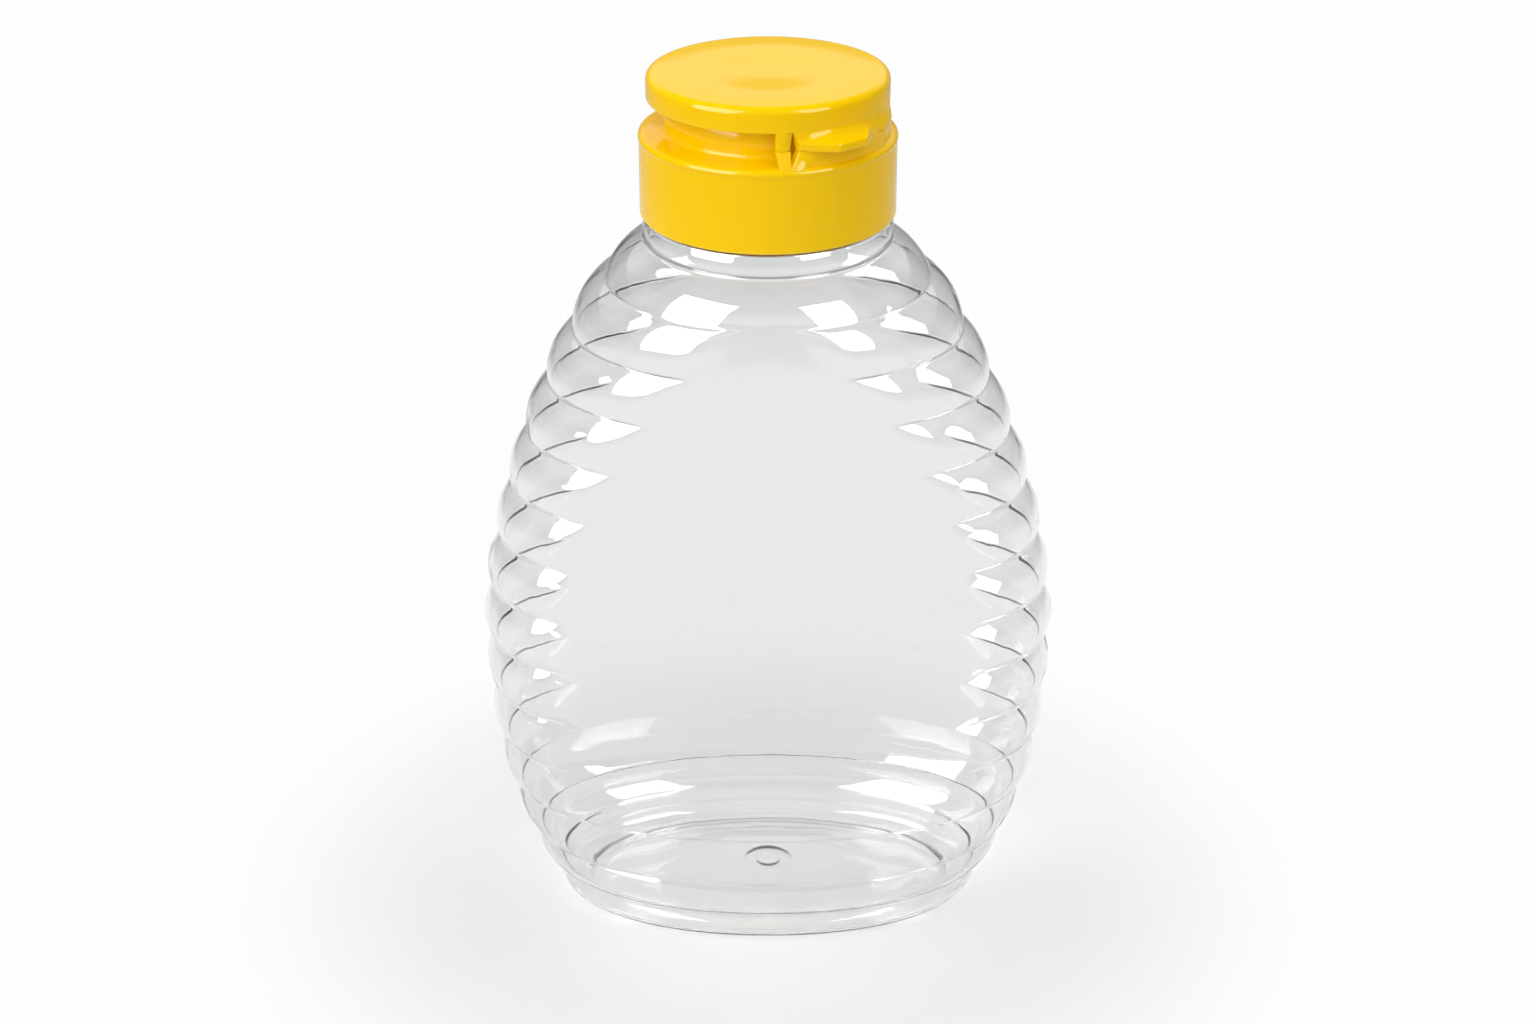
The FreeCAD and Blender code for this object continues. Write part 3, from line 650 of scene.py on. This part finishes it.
def softened_edges(piece, width):
    """A small bevel on the sharp edges, applied."""
    bevel = piece.modifiers.new("edges", "BEVEL")
    bevel.width = width
    bevel.segments = 3
    bevel.limit_method = "ANGLE"
    bevel.angle_limit = math.radians(SHARP_DEGREES)
    graph = bpy.context.evaluated_depsgraph_get()
    mesh = bpy.data.meshes.new_from_object(piece.evaluated_get(graph))
    piece.modifiers.clear()
    piece.data = mesh
    return piece


def window_half(h, cap, z):
    """Half the width of a hinge window at level z: nothing at its ends, widest at the film line."""
    if z > FILM_Z:
        share = (z - FILM_Z) / (cap.lid_bottom - FILM_Z)
    else:
        share = (FILM_Z - z) / (FILM_Z - cap.rim_level)
    return h.window_half_width * max(1 - share ** 1.6, 0.0)


def window_place(h, cap, side, z):
    """Where the middle of a hinge window lies: it leans outwards below the film line."""
    fall = max(FILM_Z - z, 0.0) / (FILM_Z - cap.rim_level)
    return side * (h.window_middle + 0.9 * MM * fall)


def sector(levels, left, right, radius, depth, count, limit=None):
    """The outer and inner sheets of a curved wall between two side edges."""
    outer, inner = [], []
    for z in levels:
        across = np.linspace(left(z), right(z), count)
        out = np.sqrt(radius(z, across) ** 2 - across ** 2)
        if limit is not None:
            out = np.minimum(out, limit)
        outer.append(np.stack([across, out, np.full(count, z)], axis=1))
        inner.append(np.stack([across, out - depth, np.full(count, z)], axis=1))
    return np.array(outer), np.array(inner)


class BOTTLE_OT_cap_base(bpy.types.Operator):
    """Builds the screw cap: skirt, rim, collar, spout and the low wall under the hinge"""
    bl_idname = "squeeze_bottle.cap_base"
    bl_label = "Screw cap"

    def execute(self, context):
        c, h = context.scene.bottle_cap, context.scene.bottle_hinge
        bore = c.skirt_radius - c.skirt_wall
        rim = c.skirt_radius + c.rim_bead
        collar_wall, deck = 1.2 * MM, 0.9 * MM
        collar_bore = c.collar_radius - collar_wall
        foot = c.rim_level + 0.35 * MM
        middle = (foot + c.collar_top) / 2 - 0.3 * MM
        # The skirt has rows of points up its height, so that its mould lines keep their shape.
        skirt = [(c.skirt_radius, CAP_LOW.z + 0.6 * MM + i * 1.2 * MM) for i in range(10)]
        outline = rounded(
            [(bore, CAP_LOW.z), (c.skirt_radius, CAP_LOW.z, 0.5 * MM)] + skirt + [
                (c.skirt_radius, c.rim_level - 2 * c.rim_round, 0.3 * MM),
                (rim, c.rim_level - 1.5 * c.rim_round, 0.2 * MM),
                (rim, c.rim_level - 0.3 * MM, c.rim_round),
                (c.lid_radius - 0.8 * MM, c.rim_level, 0.3 * MM),
                (c.collar_radius - 0.1 * MM, foot, 0.9 * MM),
                (c.collar_radius + c.collar_bulge, middle, 2.0 * MM),
                (c.collar_radius, c.collar_top, 0.6 * MM),
                (c.spout_radius, c.collar_top, 0.2 * MM),
                (c.spout_radius, CAP_HIGH.z, 0.15 * MM),
                (c.orifice_radius, CAP_HIGH.z, 0.15 * MM),
                (c.orifice_radius, c.collar_top - deck),
                (collar_bore, c.collar_top - deck),
                (collar_bore, c.seal_level),
                (bore, c.seal_level)])
        piece = revolved("cap_skirt_and_collar", outline, True, mould_lines)
        finished(piece, "base", "yellow_polypropylene", "cap_base")
        low, thick, edge_round = c.rim_level - 1.3 * MM, 1.3 * MM, 0.12 * MM
        levels = np.linspace(low, FILM_Z - FILM_GAP, 22)

        def radius(z, across):
            """The left strap slopes from the rim to the lid's wall; the wall right of it stands upright."""
            slope = rim + (h.wall_radius - rim) * (z - low) / (FILM_Z - low)
            return slope + (h.foot_radius - slope) * smooth((across + h.window_middle) / (2.5 * MM))

        left = sector(levels, lambda z: -h.strap_outer,
                      lambda z: window_place(h, c, -1, z) - window_half(h, c, z), radius, 0.9 * MM, 8)
        strap = softened_edges(block("hinge_foot_left", *left), edge_round)
        finished(strap, "base", "yellow_polypropylene")
        right = sector(levels, lambda z: window_place(h, c, -1, z) + window_half(h, c, z),
                       lambda z: h.strap_outer, radius, thick, 40)
        wall = softened_edges(block("hinge_foot", *right), edge_round)
        finished(wall, "base", "yellow_polypropylene")
        side = sector(levels, lambda z: h.strap_outer - 0.6 * MM, lambda z: h.wing_end,
                      lambda z, across: radius(z, across) - 0.35 * MM, thick, 10)
        wall = softened_edges(block("hinge_foot_side", *side), edge_round)
        finished(wall, "base", "yellow_polypropylene")
        return {"FINISHED"}


class BOTTLE_OT_lid(bpy.types.Operator):
    """Builds the lid: a dished disc with a ring wall, a sealing ring, two hinge straps and the wing"""
    bl_idname = "squeeze_bottle.lid"
    bl_label = "Lid"

    def execute(self, context):
        c, h = context.scene.bottle_cap, context.scene.bottle_hinge
        top = LID_TOP
        seal = c.spout_radius + 0.35 * MM
        seal_wall, seal_end, seal_round = 0.8 * MM, c.lid_ceiling - 1.0 * MM, 0.15 * MM
        strap_wall, edge_round = 0.8 * MM, 0.1 * MM
        dish = []
        for share in np.linspace(1.0, 0.03, 30):
            dish.append((c.dish_radius * share, top - c.dish_depth * (1 - share ** 2) ** 2))
        outline = rounded(
            [(0.1 * MM, c.lid_ceiling), (seal, c.lid_ceiling), (seal, seal_end, seal_round),
             (seal + seal_wall, seal_end, seal_round), (seal + seal_wall, c.lid_ceiling),
             (c.lid_bore, c.lid_ceiling, 0.3 * MM), (c.lid_bore, c.lid_bottom, 0.2 * MM),
             (c.lid_radius, c.lid_bottom, 0.25 * MM), (c.lid_radius, top, c.lid_round)] + dish)
        piece = revolved("lid_disc", outline, False)
        finished(piece, "lid", "yellow_polypropylene", "lid")
        levels = np.linspace(FILM_Z + FILM_GAP, c.lid_bottom + 0.5 * MM, 14)
        window = h.window_middle
        sheets = sector(levels, lambda z: -h.strap_outer, lambda z: -window - window_half(h, c, z),
                        lambda z, across: h.wall_radius, strap_wall, 8, FILM_REACH)
        strap = softened_edges(block("hinge_strap_left", *sheets), edge_round)
        finished(strap, "lid", "yellow_polypropylene")
        sheets = sector(levels, lambda z: window + window_half(h, c, z), lambda z: h.wing_end - 0.4 * MM,
                        lambda z, across: h.wall_radius, strap_wall, 8, FILM_REACH)
        strap = softened_edges(block("hinge_strap_right", *sheets), edge_round)
        finished(strap, "lid", "yellow_polypropylene")
        across = np.linspace(h.strap_outer, h.wing_end, 30)
        wing = block("lid_wing", *flare(h, c, across))
        finished(wing, "lid", "yellow_polypropylene")
        return {"FINISHED"}


def lip_line(h, across):
    """How far out the lip's edge lies at each place across the hinge, its corners rounded."""
    past = np.abs(across) - h.lip_half_width
    ease = 0.35 * MM
    return h.lip_reach - h.lip_slant * (past + np.sqrt(past ** 2 + ease ** 2)) / 2


# The lip's edge from its top to its bottom: how far it lies back in millimetres, and the share of its height.
LIP_EDGE = ((0.16, 1.0), (0.07, 0.93), (0.02, 0.8), (0.0, 0.55), (0.0, 0.3), (0.02, 0.08), (0.1, 0.0))


def flare(h, cap, across):
    """The outer and inner sheets of the band that sweeps from the lid's edge out to the lip."""
    wall = np.sqrt(cap.lid_radius ** 2 - across ** 2)
    along = np.clip((across - h.window_middle) / (h.wing_end - h.window_middle), 0, 1)
    # The wing's last stretch is rounded off: tip is 1 before it, and falls to 0 at the wing's end.
    straight = 0.86
    rounding = np.sqrt(np.clip(1 - ((along - straight) / 0.14) ** 2, 0, 1))
    tip = rounding * (along > straight) + (along <= straight)
    over = np.maximum(lip_line(h, across) - wall, 0.75 * MM * tip * smooth(along * 5))
    over = np.maximum(over, 0.12 * MM * tip)
    bottom = FILM_Z + 0.05 * MM + 0.4 * MM * along ** 1.5 + 0.5 * MM * (1 - tip)
    flank = smooth((across - h.lip_half_width) / (3.5 * MM))
    crest = bottom + (h.lip_thickness + 0.75 * MM * flank) * (0.35 + 0.65 * tip)
    top = cap.lid_bottom + 0.25 * MM
    lean = np.minimum(1.1 * MM * flank, 0.8 * over)
    sheets = []
    for share in np.linspace(0, 1, 14):
        turn = share * math.pi / 2
        out = wall + (over - lean - 0.3 * MM * smooth((over - lean) / (1 * MM))) * (1 - math.cos(turn))
        sheets.append(np.stack([across, out, top + (crest - 0.1 * MM - top) * math.sin(turn)], axis=1))
    edge = wall + over
    for back, height in LIP_EDGE:
        out = edge - lean * height - back * MM
        sheets.append(np.stack([across, out, bottom + (crest - bottom) * height], axis=1))
    outer = np.array(sheets[::-1])
    inner = np.stack([np.broadcast_to(across, outer.shape[:2]),
                      np.broadcast_to(wall - 0.8 * MM, outer.shape[:2]), outer[:, :, 2]], axis=2)
    return outer, inner


class BOTTLE_OT_hinge_band(bpy.types.Operator):
    """Builds the spring band between the hinge's windows, with its folded lip"""
    bl_idname = "squeeze_bottle.hinge_band"
    bl_label = "Hinge band"

    def execute(self, context):
        c, h = context.scene.bottle_cap, context.scene.bottle_hinge
        across = np.linspace(-h.window_middle, h.strap_outer, 74)
        outer, inner = flare(h, c, across)
        # The band's left end makes way for the window, and the shift dies out over this width.
        reach = 4 * MM
        for level in range(outer.shape[0]):
            gap = window_half(h, c, float(outer[level, 0, 2]))
            shift = gap * smooth((reach - (across + h.window_middle)) / reach)
            outer[level, :, 0] += shift
            inner[level, :, 0] += shift
        piece = block("hinge_spring_band", outer, inner, 50)
        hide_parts("hinge_band")
        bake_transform(piece)
        return {"FINISHED"}


# ---- studio -------------------------------------------------------------------------------------
FLOOR_HALF = 2.5
FLOOR_DROP = 0.05 * MM  # keeps the floor clear of the bottle's land
LAMP_AIM = Vector((0, 0, 75 * MM))
FACE_LEAD = 10 * MM  # how far a softbox's bright face stands in front of its lamp
CAMERA_PLACE = (0.0, -0.4829, 0.3029)
CAMERA_TILT = 64.5  # degrees; 90 would look level
CAMERA_LENS = 73.13


def softbox(name, azimuth, elevation, distance, size, power, shine):
    """A softbox that looks at the bottle; azimuth 0 is the front, and positive is to the right. It is
    two lamps, one close behind the other: the rear one lights the surfaces, and the front one is the
    bright face that they mirror."""
    turn, lift = math.radians(azimuth), math.radians(elevation)
    toward = Vector((math.sin(turn) * math.cos(lift), -math.cos(turn) * math.cos(lift), math.sin(lift)))
    for part, energy in (("light", power), ("face", shine)):
        lamp = bpy.data.lights.new(name + "_" + part, "AREA")
        lamp.shape = "RECTANGLE"
        lamp.size, lamp.size_y = size
        lamp.energy = energy
        holder = bpy.data.objects.new(lamp.name, lamp)
        holder.location = LAMP_AIM + toward * (distance - (FACE_LEAD if part == "face" else 0))
        holder.rotation_euler = (-toward).to_track_quat("-Z", "Y").to_euler()
        holder.visible_diffuse = part == "light"
        holder.visible_glossy = part == "face"
        holder.visible_transmission = part == "face"
        bpy.context.scene.collection.objects.link(holder)


def studio_world():
    """White to the eye; in mirrors and through the plastic a soft gradient, and a plain fill light."""
    world = bpy.data.worlds.new("studio")
    bpy.context.scene.world = world
    world.use_nodes = True
    tree = world.node_tree
    tree.nodes.clear()
    place = add_node(tree, "ShaderNodeTexCoord")
    split = add_node(tree, "ShaderNodeSeparateXYZ", [("Vector", place.outputs["Generated"])])
    shade = add_node(tree, "ShaderNodeMapRange", [
        ("Value", split.outputs["Z"]), ("From Min", 0.37), ("From Max", 0.7), ("To Min", 1.0),
        ("To Max", 0.12)], interpolation_type="SMOOTHSTEP")
    low_band = add_node(tree, "ShaderNodeMapRange", [
        ("Value", split.outputs["Z"]), ("From Min", 0.256), ("From Max", 0.274), ("To Min", 0.3),
        ("To Max", 1.0)], interpolation_type="SMOOTHSTEP")
    # Dark flags to the left and right draw the outlines of the clear plastic.
    beside = add_node(tree, "ShaderNodeMath", [(0, split.outputs["X"])], operation="ABSOLUTE")
    flags = add_node(tree, "ShaderNodeMapRange", [
        ("Value", beside.outputs[0]), ("From Min", 0.58), ("From Max", 0.78), ("To Min", 1.0),
        ("To Max", 0.35)], interpolation_type="SMOOTHSTEP")
    shade = add_node(tree, "ShaderNodeMath", [
        (0, shade.outputs["Result"]), (1, low_band.outputs["Result"])], operation="MULTIPLY")
    shade = add_node(tree, "ShaderNodeMath", [
        (0, shade.outputs[0]), (1, flags.outputs["Result"])], operation="MULTIPLY")
    ambient = add_node(tree, "ShaderNodeMapRange", [
        ("Value", split.outputs["Z"]), ("To Min", 0.1), ("To Max", 1.35)])
    path = add_node(tree, "ShaderNodeLightPath")
    seen = add_node(tree, "ShaderNodeMix", [
        (0, seen_directly(tree)), (2, ambient.outputs["Result"]), (3, shade.outputs[0])], data_type="FLOAT")
    level = add_node(tree, "ShaderNodeMix", [
        (0, path.outputs["Is Camera Ray"]), (2, seen.outputs[0]), (3, 1.0)], data_type="FLOAT")
    light = add_node(tree, "ShaderNodeBackground", [
        ("Color", (1.0, 1.0, 1.0, 1.0)), ("Strength", level.outputs[0])])
    add_node(tree, "ShaderNodeOutputWorld", [("Surface", light.outputs["Background"])])


class BOTTLE_OT_stage(bpy.types.Operator):
    """Sets the white floor, the soft lamps, the world and the camera"""
    bl_idname = "squeeze_bottle.stage"
    bl_label = "Studio"

    def execute(self, context):
        scene = context.scene
        half = FLOOR_HALF
        corners = [(-half, -half, 0), (half, -half, 0), (half, half, 0), (-half, half, 0)]
        floor = mesh_object("floor", corners, [(0, 1, 2, 3)], studio_paper(), 30)
        floor.location.z = -FLOOR_DROP
        studio_world()
        softbox("left_softbox", -51, 24, 1.1, (0.85, 1.15), 6.0, 41)
        softbox("right_softbox", 44, 27, 1.2, (0.62, 0.95), 2.0, 22)
        camera = bpy.data.cameras.new("camera")
        camera.lens = CAMERA_LENS
        camera.sensor_width = 36
        camera.clip_start = 0.01
        holder = bpy.data.objects.new("camera", camera)
        holder.location = CAMERA_PLACE
        holder.rotation_euler = (math.radians(CAMERA_TILT), 0.0, 0.0)
        scene.collection.objects.link(holder)
        scene.camera = holder
        scene.view_settings.view_transform = "Standard"
        scene.cycles.max_bounces = 24
        scene.cycles.transmission_bounces = 24
        scene.cycles.glossy_bounces = 12
        scene.cycles.transparent_max_bounces = 16
        return {"FINISHED"}


# ---- add-on -------------------------------------------------------------------------------------
OPERATORS = (BOTTLE_OT_body, BOTTLE_OT_cap_base, BOTTLE_OT_lid, BOTTLE_OT_hinge_band, BOTTLE_OT_stage)
SETTINGS = (("bottle_body", BottleSettings), ("bottle_cap", CapSettings), ("bottle_hinge", HingeSettings),
            ("bottle_finish", FinishSettings))


class BOTTLE_PT_panel(bpy.types.Panel):
    """Lists the bottle's pieces and their sizes"""
    bl_idname = "BOTTLE_PT_panel"
    bl_label = "Squeeze bottle"
    bl_space_type = "VIEW_3D"
    bl_region_type = "UI"
    bl_category = "Squeeze bottle"

    def draw(self, context):
        for operator in OPERATORS:
            self.layout.operator(operator.bl_idname)
        for name, group in SETTINGS:
            box = self.layout.box()
            box.label(text=group.__doc__)
            for key in group.__annotations__:
                box.prop(getattr(context.scene, name), key)


def register():
    for name, group in SETTINGS:
        bpy.utils.register_class(group)
        setattr(bpy.types.Scene, name, bpy.props.PointerProperty(type=group))
    for operator in OPERATORS:
        bpy.utils.register_class(operator)
    bpy.utils.register_class(BOTTLE_PT_panel)


def unregister():
    bpy.utils.unregister_class(BOTTLE_PT_panel)
    for operator in reversed(OPERATORS):
        bpy.utils.unregister_class(operator)
    for name, group in reversed(SETTINGS):
        delattr(bpy.types.Scene, name)
        bpy.utils.unregister_class(group)


def main():
    register()
    for operator in OPERATORS:
        group, name = operator.bl_idname.split(".")
        getattr(getattr(bpy.ops, group), name)()


if __name__ == "__main__":
    main()
